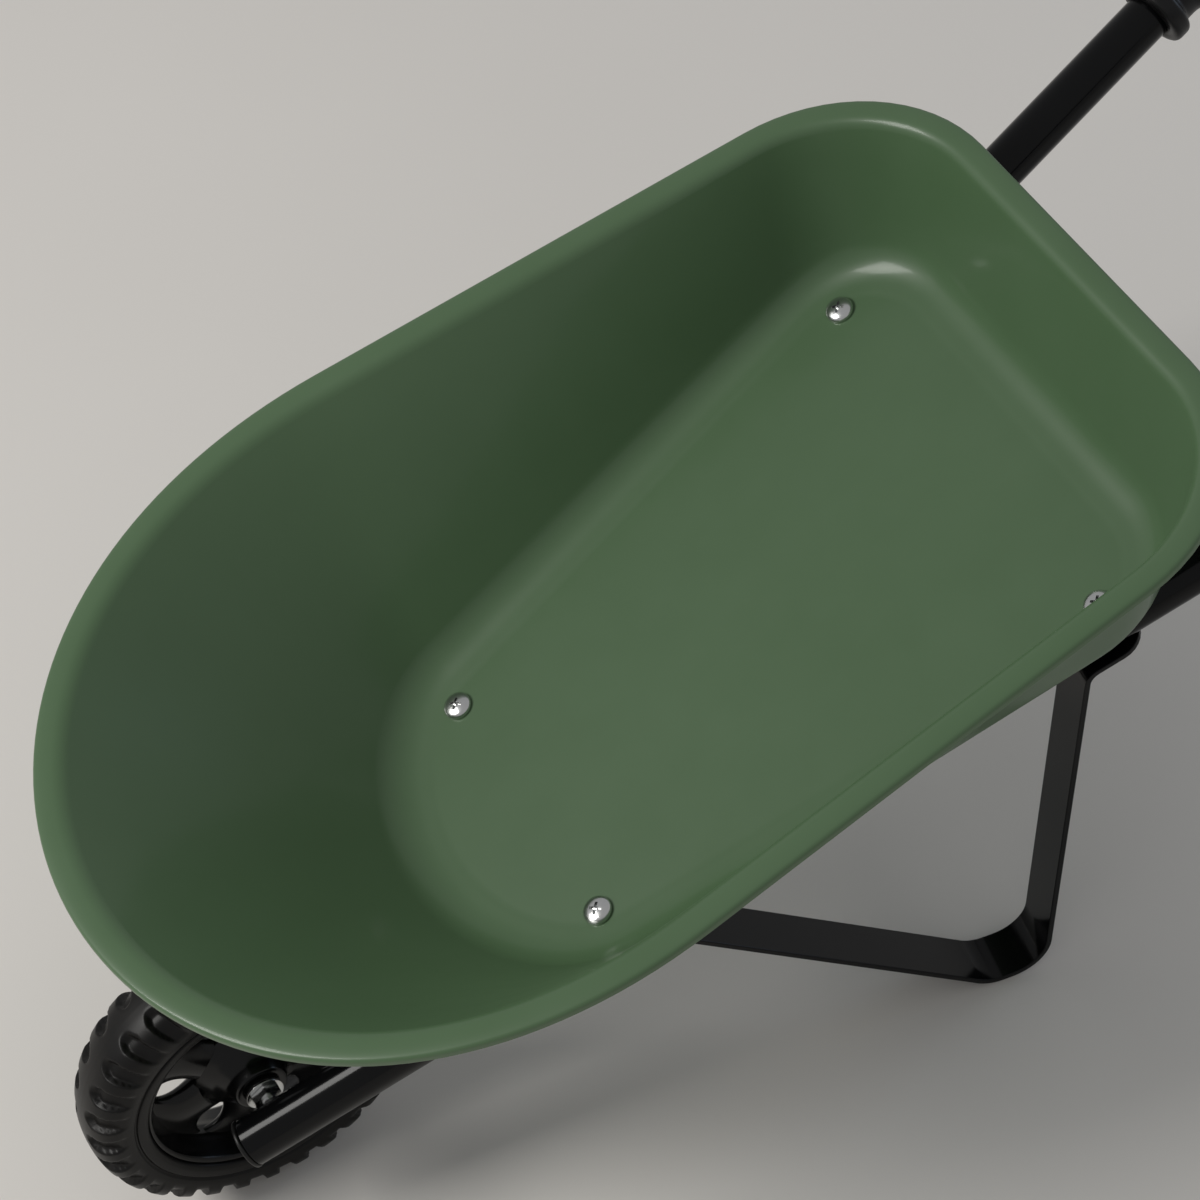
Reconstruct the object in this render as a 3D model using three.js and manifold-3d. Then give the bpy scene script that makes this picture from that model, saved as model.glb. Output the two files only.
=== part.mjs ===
// Small steel wheelbarrow: one wheel, two straight tubes from axle to grips, a pressed tray and two strip legs.
// Millimetres, +X forward (towards the wheel), +Y left, +Z up, resting on z = 0 on the wheel and both feet.
import * as THREE from "three";
import { mergeVertices } from "three/addons/utils/BufferGeometryUtils.js";
import Module from "manifold-3d";

const wasm = await Module();
wasm.setup();

// Overall layout
const ORIGIN_X = 279.55; // axle's x, which centres the whole object on x = 0
const WHEEL_R = 70;
const CHASSIS_PITCH = 19.85; // degrees, rise of tubes and tray floor towards the grips
const TUBE_TOE = 8.8; // degrees, spread of each tube towards the grips, in the chassis plane
const GAP = 0.15; // clearance between touching pieces

// Tubes and grips, measured along the tube from the axle, forward positive
const TUBE_R = 10;
const TUBE_BORE = 8.8;
const TUBE_FRONT = 15.5;
const TUBE_BACK = -668;
const PLUG_FLANGE = 1.8;
const PLUG_STEM = 8;
const COLLAR_AT = -557;
const COLLAR_R = 16.3;
const COLLAR_LONG = 6;
const GRIP_R = 13.2;
const GRIP_END = -675;

// Tray, in the chassis plane's own coordinates
const SHEET = 1.2;
const FLOOR_N = TUBE_R + GAP + SHEET; // floor's top above the tube axis
const BOLT_FRONT = -152.6;
const BOLT_BACK = -374.1;
const FLOOR_MARGIN = 22; // floor's folded edge outside the tube line
const FLOOR_BACK = -412;
const FLOOR_FRONT = -103;
const FLOOR_NOSE = 54; // length of the rounded front part of the floor
const FLOOR_CORNER = 46;
const FLOOR_FOLD = 12; // run of the soft fold beside the floor edge
const RIM_BACK_X = -405.7;
const RIM_BACK_Z = 286.6;
const RIM_PITCH = 10.1; // degrees
const RIM_LONG = 454;
const RIM_NOSE = 188.5; // length of the rounded front part of the rim
const RIM_BACK_HALF = 139;
const RIM_WIDE_HALF = 160;
const RIM_CORNER = 74;
const FLANGE = 11;
const LIP = 4; // depth of the turned-down edge

// Screws
const SCREW_R = 3;
const HEAD_R = 6;
const HEAD_HIGH = 3.2;
const HOLE_R = 3.4;
const NUT_R = 5.8;
const NUT_HIGH = 5;
const WASHER_R = 7.5;

// Legs, in the upright plane of each tube
const STRIP_THICK = 2.5;
const STRIP_WIDE = 22;
const FOOT_FRONT = -293.6;
const FOOT_BACK = -319;
const LEG_TOP_FRONT = -162.3;
const LEG_TOP_BACK = -343.4;
const TAB_FRONT = -136.5;
const TAB_BACK = -368.5;
const FOOT_BEND = 17;
const TOP_BEND = 7;

// Wheel
const TYRE_SIDE = 16;
const BEAD_R = 47;
const LUGS = 30;
const HUB_R = 12.5;
const HUB_HALF = 18;
const WHEEL_SPOKES = 6;
const OPENING_TURN = 10; // degrees, how far the first opening sits above level, ahead of the axle
const AXLE_R = 4;
const BUSH_R = 6.5;
const WHEEL_PLAY = 0.3; // gap on each side between the bush and its washer
const BUSH_PROUD = 1.2; // how far each bush stands out of the hub
const AXLE_WASHER = 1.4;
const AXLE_NUT = 3.9;
const AXLE_NUT_R = 6.6;
const AXLE_PLAY = 0.36; // gap between the nut and the tube

// Half spacing of the tubes at the axle: the wheel's stack of fittings, then the slanting tube
const STACK = HUB_HALF + BUSH_PROUD + WHEEL_PLAY + AXLE_WASHER + GAP + AXLE_NUT;
const TOE_RUN = Math.tan(THREE.MathUtils.degToRad(TUBE_TOE));
const TUBE_Y0 = STACK + AXLE_PLAY + AXLE_NUT_R * TOE_RUN + TUBE_R * Math.hypot(1, TOE_RUN);

const PAINT_GREEN = { color: 0x4e664c, roughness: 0.38, metalness: 0.1 };
const PAINT_BLACK = { color: 0x15161a, roughness: 0.25, metalness: 0.2 };
const RUBBER = { color: 0x1c1c1e, roughness: 0.55, metalness: 0 };
const PLASTIC = { color: 0x131315, roughness: 0.4, metalness: 0 };
const ZINC = { color: 0xc8c8c6, roughness: 0.22, metalness: 1 };
const NYLON = { color: 0x2a2a2c, roughness: 0.5, metalness: 0 };

const rad = THREE.MathUtils.degToRad;
const barrow = new THREE.Group();
barrow.name = "wheelbarrow";

// Frames: the chassis leans with the tubes, and each side frame turns with its tube.
const axleFrame = new THREE.Matrix4().makeTranslation(ORIGIN_X, 0, WHEEL_R);
const chassisFrame = axleFrame.clone().multiply(new THREE.Matrix4().makeRotationY(rad(CHASSIS_PITCH)));

function tubeFrame(side) {
  const place = new THREE.Matrix4().makeTranslation(0, side * TUBE_Y0, 0);
  const turn = new THREE.Matrix4().makeRotationZ(-side * rad(TUBE_TOE));
  return chassisFrame.clone().multiply(place).multiply(turn);
}

const SLOPE = Math.tan(rad(CHASSIS_PITCH));
const PLAN_TOE = Math.atan(TOE_RUN / Math.cos(rad(CHASSIS_PITCH)));
const LEG_SLOPE = SLOPE * Math.cos(PLAN_TOE);

function legFrame(side) {
  const place = new THREE.Matrix4().makeTranslation(0, side * TUBE_Y0, 0);
  const turn = new THREE.Matrix4().makeRotationZ(-side * PLAN_TOE);
  return axleFrame.clone().multiply(place).multiply(turn);
}

const tubeY = (s) => TUBE_Y0 - s * TOE_RUN;

// Solids
function solid(geometry, matrix) {
  const bare = new THREE.BufferGeometry();
  const flat = geometry.index ? geometry.toNonIndexed() : geometry;
  bare.setAttribute("position", flat.getAttribute("position").clone());
  if (matrix) bare.applyMatrix4(matrix);
  const merged = mergeVertices(bare, 1e-4);
  const made = manifoldOf(merged, false);
  return made.volume() < 0 ? manifoldOf(merged, true) : made;
}

function manifoldOf(merged, reversed) {
  const triVerts = new Uint32Array(merged.index.array);
  if (reversed) triVerts.reverse();
  const vertProperties = merged.attributes.position.array;
  return new wasm.Manifold(new wasm.Mesh({ numProp: 3, vertProperties, triVerts }));
}

function geometryOf(manifold) {
  const mesh = manifold.getMesh();
  const geometry = new THREE.BufferGeometry();
  geometry.setAttribute("position", new THREE.BufferAttribute(new Float32Array(mesh.vertProperties), 3));
  geometry.setIndex(new THREE.BufferAttribute(new Uint32Array(mesh.triVerts), 1));
  const out = geometry.toNonIndexed();
  out.computeVertexNormals();
  return out;
}

function add(name, manifold, finish) {
  const mesh = new THREE.Mesh(geometryOf(manifold), new THREE.MeshStandardMaterial(finish));
  mesh.name = name;
  barrow.add(mesh);
}

const UPRIGHT = new THREE.Matrix4().makeRotationX(Math.PI / 2);
const ALONG_X = new THREE.Matrix4().makeRotationY(Math.PI / 2);
const ALONG_Y = new THREE.Matrix4().makeRotationX(-Math.PI / 2);

// A turned piece from [radius, along] pairs, turned about the Z axis of the given frame.
function lathe(profile, segments, frame) {
  const points = profile.map(([r, z]) => new THREE.Vector2(r, z));
  return solid(new THREE.LatheGeometry(points, segments), UPRIGHT).transform(columns(frame));
}

function columns(matrix) {
  return Array.from(matrix.elements);
}

function along(frame, axis, x = 0, y = 0, z = 0) {
  const move = new THREE.Matrix4().makeTranslation(x, y, z);
  return frame.clone().multiply(move).multiply(axis);
}

const NONE = new THREE.Matrix4();

function rod(radius, low, high, segments, frame) {
  return lathe([[0, low], [radius, low], [radius, high], [0, high]], segments, frame);
}

function sleeve(outer, inner, low, high, segments, frame) {
  const profile = [[inner, low], [outer, low], [outer, high], [inner, high], [inner, low]];
  return lathe(profile, segments, frame);
}

function hexNut(radius, bore, low, high, frame) {
  return rod(radius, low, high, 6, frame).subtract(rod(bore, low - 1, high + 1, 24, frame));
}

// Tray outlines: half from the middle of the back edge to the nose, as [along, across].
const BACK_POINTS = 2;
const CORNER_POINTS = 7;
const SIDE_POINTS = 4;
const NOSE_POINTS = 14;

function halfOutline(back, backHalf, wide, wideHalf, nose, corner) {
  const side = new THREE.Vector2(wide - back, wideHalf - backHalf).normalize();
  const inner = Math.acos(-side.y);
  const reach = corner / Math.tan(inner / 2);
  const start = new THREE.Vector2(back, backHalf - reach);
  const end = new THREE.Vector2(back, backHalf).addScaledVector(side, reach);
  const centre = new THREE.Vector2(back + corner, start.y);
  const from = Math.PI;
  const to = Math.atan2(end.y - centre.y, end.x - centre.x);
  const points = [];
  for (let i = 0; i < BACK_POINTS; i++) points.push([back, (start.y * i) / BACK_POINTS]);
  for (let i = 0; i < CORNER_POINTS; i++) {
    const a = from + ((to - from) * i) / CORNER_POINTS;
    points.push([centre.x + corner * Math.cos(a), centre.y + corner * Math.sin(a)]);
  }
  for (let i = 0; i < SIDE_POINTS; i++) {
    const t = i / SIDE_POINTS;
    points.push([end.x + (wide - end.x) * t, end.y + (wideHalf - end.y) * t]);
  }
  const grow = side.y / side.x;
  for (let i = 0; i <= NOSE_POINTS; i++) {
    const a = (Math.PI / 2) * (i / NOSE_POINTS);
    const x = nose * Math.sin(a);
    points.push([wide + x, wideHalf * Math.cos(a) + grow * x * Math.cos(a)]);
  }
  return points;
}

// Closed outline as 3-D points, anticlockwise seen from above, through a placing function.
function ring(half, place) {
  const last = half.length - 1;
  const right = half.map(([x, y]) => place(x, -y));
  const left = half.map(([x, y]) => place(x, y));
  const points = right.slice(0, last + 1);
  for (let i = last - 1; i > 0; i--) points.push(left[i]);
  return points;
}

function outwards(points, normal) {
  const count = points.length;
  return points.map((p, i) => {
    const tangent = points[(i + 1) % count].clone().sub(points[(i + count - 1) % count]);
    return tangent.cross(normal).normalize();
  });
}

// A rounded corner between two straight runs, as points.
function rounded(corner, towardsA, towardsB, length, steps) {
  const a = corner.clone().addScaledVector(towardsA, length);
  const b = corner.clone().addScaledVector(towardsB, length);
  const points = [];
  for (let i = 0; i <= steps; i++) {
    const t = i / steps;
    const p = a.clone().multiplyScalar((1 - t) * (1 - t));
    p.addScaledVector(corner, 2 * t * (1 - t)).addScaledVector(b, t * t);
    points.push(p);
  }
  return points;
}

function trayRings() {
  const floorNormal = new THREE.Vector3(0, 0, 1).transformDirection(chassisFrame);
  const rimTilt = new THREE.Matrix4().makeRotationY(rad(RIM_PITCH));
  const rimNormal = new THREE.Vector3(0, 0, 1).transformDirection(rimTilt);
  const floorWide = FLOOR_FRONT - FLOOR_NOSE;
  const floorHalf = halfOutline(
    FLOOR_BACK,
    tubeY(FLOOR_BACK) + FLOOR_MARGIN,
    floorWide,
    tubeY(floorWide) + FLOOR_MARGIN,
    FLOOR_NOSE,
    FLOOR_CORNER,
  );
  const rimHalf = halfOutline(0, RIM_BACK_HALF, RIM_LONG - RIM_NOSE, RIM_WIDE_HALF, RIM_NOSE, RIM_CORNER);
  const rimBack = new THREE.Vector3(ORIGIN_X + RIM_BACK_X, 0, RIM_BACK_Z);
  const floor = ring(floorHalf, (x, y) => new THREE.Vector3(x, y, FLOOR_N).applyMatrix4(chassisFrame));
  const rim = ring(rimHalf, (x, y) => new THREE.Vector3(x, y, 0).applyMatrix4(rimTilt).add(rimBack));
  const rimOut = outwards(rim, rimNormal);
  const floorOut = outwards(floor, floorNormal);
  const sections = rim.map((edge, i) => {
    const fold = floor[i];
    const shoulder = edge.clone().addScaledVector(rimOut[i], -FLANGE);
    const wall = shoulder.clone().sub(fold).normalize();
    const inwards = floorOut[i].clone().negate();
    const down = rimNormal.clone().negate();
    const lipEnd = edge.clone().addScaledVector(down, LIP);
    return [
      ...rounded(fold, inwards, wall, FLOOR_FOLD, 4),
      ...rounded(shoulder, wall.clone().negate(), rimOut[i], 4.5, 3),
      ...rounded(edge, rimOut[i].clone().negate(), down, 1.5, 2),
      lipEnd,
    ];
  });
  const middle = new THREE.Vector3((FLOOR_BACK + FLOOR_FRONT) / 2, 0, FLOOR_N).applyMatrix4(chassisFrame);
  return { sections, middle, floorNormal };
}

function trayShell() {
  const { sections, middle, floorNormal } = trayRings();
  const around = sections.length;
  const across = sections[0].length;
  const at = (i, j) => sections[(i + around) % around][j];
  const inside = [];
  const outside = [];
  for (let i = 0; i < around; i++) {
    for (let j = 0; j < across; j++) {
      const ahead = at(i + 1, j).clone().sub(at(i - 1, j));
      const up = at(i, Math.min(j + 1, across - 1)).clone().sub(at(i, Math.max(j - 1, 0)));
      const face = j === 0 ? floorNormal.clone() : ahead.cross(up).negate().normalize();
      if (j > 0 && j < 5 && face.dot(floorNormal) < 0) face.negate();
      inside.push(at(i, j));
      outside.push(at(i, j).clone().addScaledVector(face, -SHEET));
    }
  }
  const top = middle;
  const under = middle.clone().addScaledVector(floorNormal, -SHEET);
  const points = [...inside, ...outside, top, under];
  const index = [];
  const n = around * across;
  const id = (layer, i, j) => layer * n + (i % around) * across + j;
  for (let i = 0; i < around; i++) {
    index.push(2 * n, id(0, i, 0), id(0, i + 1, 0));
    index.push(2 * n + 1, id(1, i + 1, 0), id(1, i, 0));
    for (let j = 0; j < across - 1; j++) {
      quad(index, id(0, i, j), id(0, i, j + 1), id(0, i + 1, j + 1), id(0, i + 1, j));
      quad(index, id(1, i, j), id(1, i + 1, j), id(1, i + 1, j + 1), id(1, i, j + 1));
    }
    const j = across - 1;
    quad(index, id(0, i, j), id(1, i, j), id(1, i + 1, j), id(0, i + 1, j));
  }
  return closed(points, index);
}

function quad(index, a, b, c, d) {
  index.push(a, b, c, a, c, d);
}

function closed(points, index) {
  const geometry = new THREE.BufferGeometry();
  const flat = points.flatMap((p) => [p.x, p.y, p.z]);
  geometry.setAttribute("position", new THREE.BufferAttribute(new Float32Array(flat), 3));
  geometry.setIndex(index);
  return solid(geometry);
}

const BOLTS = [
  ["front_left", BOLT_FRONT, 1],
  ["front_right", BOLT_FRONT, -1],
  ["back_left", BOLT_BACK, 1],
  ["back_right", BOLT_BACK, -1],
];

function boltFrame(s, side) {
  return along(chassisFrame, NONE, s, side * tubeY(s), 0);
}

function holes(piece, radius, low, high) {
  let cut = piece;
  for (const [, s, side] of BOLTS) cut = cut.subtract(rod(radius, low, high, 16, boltFrame(s, side)));
  return cut;
}

function tray() {
  add("tray", holes(trayShell(), HOLE_R, 0, 30), PAINT_GREEN);
}

function tubes() {
  for (const [word, side] of [["left", 1], ["right", -1]]) {
    const frame = tubeFrame(side);
    const lengthwise = along(frame, ALONG_X);
    const bare = sleeve(TUBE_R, TUBE_BORE, TUBE_BACK, TUBE_FRONT, 24, lengthwise);
    const crossing = along(axleFrame, ALONG_Y, 0, side * (TUBE_Y0 - 6), 0);
    const socket = rod(AXLE_R + 0.1, -10, 10, 24, crossing);
    add("frame_tube_" + word, holes(bare, HOLE_R, -20, 20).subtract(socket), PAINT_BLACK);
    add("tube_plug_" + word, tubePlug(lengthwise), NYLON);
    add("grip_" + word, grip(lengthwise), RUBBER);
  }
}

function tubePlug(frame) {
  const face = TUBE_FRONT + GAP;
  const profile = [
    [0, face - PLUG_STEM],
    [TUBE_BORE - GAP, face - PLUG_STEM],
    [TUBE_BORE - GAP, face],
    [TUBE_R + 0.4, face],
    [TUBE_R + 0.4, face + PLUG_FLANGE * 0.5],
    [TUBE_R - 0.6, face + PLUG_FLANGE],
    [0, face + PLUG_FLANGE + 0.4],
  ];
  return lathe(profile, 24, frame);
}

function grip(frame) {
  const bore = TUBE_R + GAP;
  const profile = [
    [0, GRIP_END],
    [GRIP_R - 1, GRIP_END + 3],
    [GRIP_R + 0.6, GRIP_END + 9],
    [GRIP_R - 0.4, GRIP_END + 20],
    [GRIP_R + 0.3, (GRIP_END + COLLAR_AT) / 2],
    [GRIP_R, COLLAR_AT - COLLAR_LONG],
    [COLLAR_R - 1, COLLAR_AT - COLLAR_LONG],
    [COLLAR_R, COLLAR_AT - COLLAR_LONG / 2],
    [COLLAR_R - 1, COLLAR_AT],
    [bore, COLLAR_AT],
    [bore, TUBE_BACK - GAP],
    [0, TUBE_BACK - GAP],
  ];
  return lathe(profile, 24, frame);
}

// Leg centre line in its upright plane, with bends rounded to arcs.
function bent(corners, radii, thick) {
  const line = [corners[0]];
  for (let i = 1; i < corners.length - 1; i++) {
    const p = new THREE.Vector2(...corners[i]);
    const a = new THREE.Vector2(...corners[i - 1]).sub(p).normalize();
    const b = new THREE.Vector2(...corners[i + 1]).sub(p).normalize();
    const half = Math.acos(a.dot(b)) / 2;
    const reach = radii[i - 1] / Math.tan(half);
    const centre = p.clone().addScaledVector(a.clone().add(b).normalize(), radii[i - 1] / Math.sin(half));
    const from = p.clone().addScaledVector(a, reach).sub(centre).angle();
    let sweep = p.clone().addScaledVector(b, reach).sub(centre).angle() - from;
    if (sweep > Math.PI) sweep -= 2 * Math.PI;
    if (sweep < -Math.PI) sweep += 2 * Math.PI;
    const steps = 4;
    for (let k = 0; k <= steps; k++) {
      const t = from + (sweep * k) / steps;
      line.push([centre.x + radii[i - 1] * Math.cos(t), centre.y + radii[i - 1] * Math.sin(t)]);
    }
  }
  line.push(corners[corners.length - 1]);
  return offsetBand(line, thick / 2);
}

function offsetBand(line, half) {
  const sides = [[], []];
  line.forEach((p, i) => {
    const before = new THREE.Vector2(...line[Math.max(i - 1, 0)]);
    const after = new THREE.Vector2(...line[Math.min(i + 1, line.length - 1)]);
    const t = after.sub(before).normalize();
    sides[0].push(new THREE.Vector2(p[0] - t.y * half, p[1] + t.x * half));
    sides[1].push(new THREE.Vector2(p[0] + t.y * half, p[1] - t.x * half));
  });
  return new THREE.Shape([...sides[0], ...sides[1].reverse()]);
}

function stadium(low, high, wide) {
  const shape = new THREE.Shape();
  const r = wide / 2;
  shape.absarc(high - r, 0, r, -Math.PI / 2, Math.PI / 2, false);
  shape.absarc(low + r, 0, r, Math.PI / 2, (3 * Math.PI) / 2, false);
  return shape;
}

function leg(word, side) {
  const drop = (TUBE_R + GAP + STRIP_THICK / 2) / Math.cos(Math.atan(LEG_SLOPE));
  const tab = (x) => [x, -x * LEG_SLOPE - drop];
  const sole = STRIP_THICK / 2 - WHEEL_R;
  const corners = [
    tab(TAB_FRONT),
    tab(LEG_TOP_FRONT),
    [FOOT_FRONT, sole],
    [FOOT_BACK, sole],
    tab(LEG_TOP_BACK),
    tab(TAB_BACK),
  ];
  const shape = bent(corners, [TOP_BEND, FOOT_BEND, FOOT_BEND, TOP_BEND], STRIP_THICK);
  const strip = new THREE.ExtrudeGeometry(shape, { depth: STRIP_WIDE, bevelEnabled: false });
  strip.translate(0, 0, -STRIP_WIDE / 2);
  strip.rotateX(Math.PI / 2);
  const plan = new THREE.ExtrudeGeometry(stadium(TAB_BACK, TAB_FRONT, STRIP_WIDE - 0.01), {
    depth: 260,
    bevelEnabled: false,
    curveSegments: 6,
  });
  plan.translate(0, 0, -120);
  const rounded = solid(strip).intersect(solid(plan));
  add("leg_" + word, holes(rounded.transform(columns(legFrame(side))), HOLE_R, -40, 0), PAINT_BLACK);
}

function screws() {
  const under = -(TUBE_R + GAP + STRIP_THICK + 1.2);
  for (const [word, s, side] of BOLTS) {
    const frame = boltFrame(s, side);
    const seat = FLOOR_N + GAP;
    const head = lathe(
      [
        [0, under - NUT_HIGH - 3],
        [SCREW_R - 0.5, under - NUT_HIGH - 3],
        [SCREW_R, under - NUT_HIGH - 2.5],
        [SCREW_R, seat],
        [HEAD_R, seat],
        [HEAD_R, seat + HEAD_HIGH * 0.4],
        [HEAD_R * 0.82, seat + HEAD_HIGH * 0.8],
        [HEAD_R * 0.5, seat + HEAD_HIGH],
        [0, seat + HEAD_HIGH],
      ],
      16,
      frame,
    );
    add("tray_screw_" + word, head.subtract(crossRecess(frame, seat + HEAD_HIGH)), ZINC);
    const washerTop = under - 0.2;
    add("washer_" + word, sleeve(WASHER_R, HOLE_R, washerTop - 1, washerTop, 16, frame), ZINC);
    const nutTop = washerTop - 1 - GAP;
    add("lock_nut_" + word, hexNut(NUT_R, SCREW_R + GAP, nutTop - NUT_HIGH, nutTop, frame), ZINC);
  }
}

function crossRecess(frame, top) {
  const arm = new THREE.BoxGeometry(5.4, 1.1, 3.2);
  const place = along(frame, NONE, 0, 0, top);
  const turn = new THREE.Matrix4().makeRotationZ(Math.PI / 2);
  return solid(arm, place).add(solid(arm, place.clone().multiply(turn)));
}

// Tyre: [radius, across] round its section, outer face first, with lugs on both shoulders.
function tyre() {
  const section = [
    [BEAD_R, -TYRE_SIDE + 1],
    [BEAD_R + 7, -TYRE_SIDE],
    [BEAD_R + 14, -TYRE_SIDE - 1],
    [WHEEL_R - 5, -TYRE_SIDE],
    [WHEEL_R - 1.6, -TYRE_SIDE + 6],
    [WHEEL_R, -5],
    [WHEEL_R, 5],
    [WHEEL_R - 1.6, TYRE_SIDE - 6],
    [WHEEL_R - 5, TYRE_SIDE],
    [BEAD_R + 14, TYRE_SIDE + 1],
    [BEAD_R + 7, TYRE_SIDE],
    [BEAD_R, TYRE_SIDE - 1],
  ];
  const groove = [0, 0, 0.8, 2.6, 2, 0, 0, 2, 2.6, 0.8, 0, 0];
  const points = [];
  const steps = [0, 0.08, 0.5, 0.58];
  const turns = LUGS * steps.length;
  for (let k = 0; k < turns; k++) {
    const part = k % steps.length;
    const angle = ((Math.floor(k / steps.length) + steps[part]) / LUGS) * 2 * Math.PI;
    section.forEach(([r, y], j) => {
      const leftLug = part === 1 || part === 2;
      const low = (y > 0) !== leftLug ? groove[j] : 0;
      const inY = j === 2 || j === 9 ? low * Math.sign(y) : 0;
      const inR = inY ? 0 : low;
      points.push(new THREE.Vector3((r - inR) * Math.cos(angle), y - inY, (r - inR) * Math.sin(angle)));
    });
  }
  const index = [];
  const m = section.length;
  const id = (k, j) => (k % turns) * m + (j % m);
  for (let k = 0; k < turns; k++) {
    for (let j = 0; j < m; j++) quad(index, id(k, j), id(k + 1, j), id(k + 1, j + 1), id(k, j + 1));
  }
  add("tyre", closed(points, index).transform(columns(axleFrame)), RUBBER);
}

function wheelRim() {
  const frame = along(axleFrame, ALONG_Y);
  const lipR = BEAD_R - GAP;
  const ringPart = lathe(
    [
      [lipR - 4, -TYRE_SIDE + 1.5],
      [lipR, -TYRE_SIDE + 1.5],
      [lipR, TYRE_SIDE - 1.5],
      [lipR - 4, TYRE_SIDE - 1.5],
      [lipR - 4, -TYRE_SIDE + 1.5],
    ],
    36,
    frame,
  );
  const dish = lathe(
    [
      [BUSH_R + GAP, -HUB_HALF + 5],
      [HUB_R, -HUB_HALF + 5],
      [HUB_R + 10, -11],
      [lipR - 10, -9.5],
      [lipR - 2, -6],
      [lipR - 2, 6],
      [lipR - 10, 9.5],
      [HUB_R + 10, 11],
      [HUB_R, HUB_HALF - 5],
      [BUSH_R + GAP, HUB_HALF - 5],
      [BUSH_R + GAP, -HUB_HALF + 5],
    ],
    36,
    frame,
  );
  const hub = sleeve(HUB_R, BUSH_R + GAP, -HUB_HALF, HUB_HALF, 24, frame);
  let wheel = ringPart.add(dish).add(hub);
  for (let i = 0; i < WHEEL_SPOKES; i++) {
    const turn = new THREE.Matrix4().makeRotationZ(rad((i * 360) / WHEEL_SPOKES - OPENING_TURN));
    wheel = wheel.subtract(lensCutter(frame.clone().multiply(turn)));
  }
  add("wheel_rim", wheel, PLASTIC);
}

// A lens-shaped slot through the wheel, long along the radius.
function lensCutter(frame) {
  const inner = HUB_R + 6;
  const outer = BEAD_R - 5;
  const bulge = 8.5;
  const shape = new THREE.Shape();
  shape.moveTo(inner, 0);
  shape.quadraticCurveTo((inner + outer) / 2 + 3, -2 * bulge, outer, 0);
  shape.quadraticCurveTo((inner + outer) / 2 + 3, 2 * bulge, inner, 0);
  const slot = new THREE.ExtrudeGeometry(shape, { depth: 60, bevelEnabled: false, curveSegments: 5 });
  slot.translate(0, 0, -30);
  return solid(slot, frame);
}

function axleParts() {
  const frame = along(axleFrame, ALONG_Y);
  const half = TUBE_Y0 + 4;
  add("axle", rod(AXLE_R, -half, half, 24, frame), ZINC);
  for (const [word, side] of [["left", 1], ["right", -1]]) {
    const outward = (a, b) => (side > 0 ? [a, b] : [-b, -a]);
    const bore = AXLE_R + 0.08;
    const [b0, b1] = outward(HUB_HALF - 9, HUB_HALF + BUSH_PROUD);
    add("wheel_bush_" + word, sleeve(BUSH_R, bore, b0, b1, 24, frame), NYLON);
    const washer = HUB_HALF + BUSH_PROUD + WHEEL_PLAY;
    const [w0, w1] = outward(washer, washer + AXLE_WASHER);
    add("axle_washer_" + word, sleeve(8, bore, w0, w1, 24, frame), ZINC);
    const [s0, s1] = outward(STACK - AXLE_NUT, STACK);
    add("axle_nut_" + word, hexNut(AXLE_NUT_R, bore, s0, s1, frame), ZINC);
  }
}

tray();
tubes();
leg("left", 1);
leg("right", -1);
screws();
tyre();
wheelRim();
axleParts();

export default barrow;
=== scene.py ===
"""Small enamelled wheelbarrow: every visible piece and finish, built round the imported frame.

Metres, +X forward towards the wheel, +Y left, +Z up.
"""

import math

import bmesh
import bpy
from mathutils import Matrix, Quaternion, Vector


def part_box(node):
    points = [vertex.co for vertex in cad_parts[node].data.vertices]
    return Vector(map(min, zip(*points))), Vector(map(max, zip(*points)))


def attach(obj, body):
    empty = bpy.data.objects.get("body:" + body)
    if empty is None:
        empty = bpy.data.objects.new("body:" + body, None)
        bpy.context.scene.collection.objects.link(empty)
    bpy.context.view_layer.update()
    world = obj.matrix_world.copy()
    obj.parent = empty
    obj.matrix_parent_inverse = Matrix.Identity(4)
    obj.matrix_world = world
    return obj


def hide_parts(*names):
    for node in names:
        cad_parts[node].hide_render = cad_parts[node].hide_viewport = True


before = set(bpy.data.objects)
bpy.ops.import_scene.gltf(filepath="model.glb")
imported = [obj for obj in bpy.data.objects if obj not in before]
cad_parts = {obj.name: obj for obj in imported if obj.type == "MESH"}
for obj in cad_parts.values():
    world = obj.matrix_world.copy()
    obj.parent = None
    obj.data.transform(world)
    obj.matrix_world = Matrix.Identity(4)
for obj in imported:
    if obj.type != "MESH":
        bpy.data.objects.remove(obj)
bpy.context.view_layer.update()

MM = 0.001
SIDES = (("left", 1), ("right", -1))
CORNERS = ("front_left", "front_right", "back_left", "back_right")

# Sizes that the frame doesn't state by itself
GAP = 0.15 * MM
SHEET = 1.2 * MM
TUBE_R = 10 * MM
TUBE_BORE = 8.8 * MM
TUBE_FRONT = 15.5 * MM
TUBE_BACK = -668 * MM
PLUG_FLANGE = 1.8 * MM
COLLAR_AT = -557 * MM
COLLAR_LONG = 7.5 * MM
COLLAR_R = 16.3 * MM
GRIP_R = 13.2 * MM
GRIP_END = -675 * MM
AXLE_BEYOND_TUBE = 4 * MM

FLOOR_N = TUBE_R + GAP + SHEET
FLOOR_MARGIN = 22 * MM
FLOOR_BACK = -412 * MM
FLOOR_FRONT = -103 * MM
FLOOR_NOSE = 54 * MM
FLOOR_CORNER = 46 * MM
FLOOR_FOLD = 12 * MM
FLOOR_STEP = 0.3 * MM
RIM_BACK = Vector((-405.7 * MM, 0, 216.6 * MM))  # from the wheel's centre
RIM_PITCH = math.radians(10.1)
RIM_LONG = 454 * MM
RIM_NOSE = 188.5 * MM
RIM_BACK_HALF = 139 * MM
RIM_WIDE_HALF = 160 * MM
RIM_CORNER = 74 * MM
FLANGE = 11 * MM
LIP = 4 * MM

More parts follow.
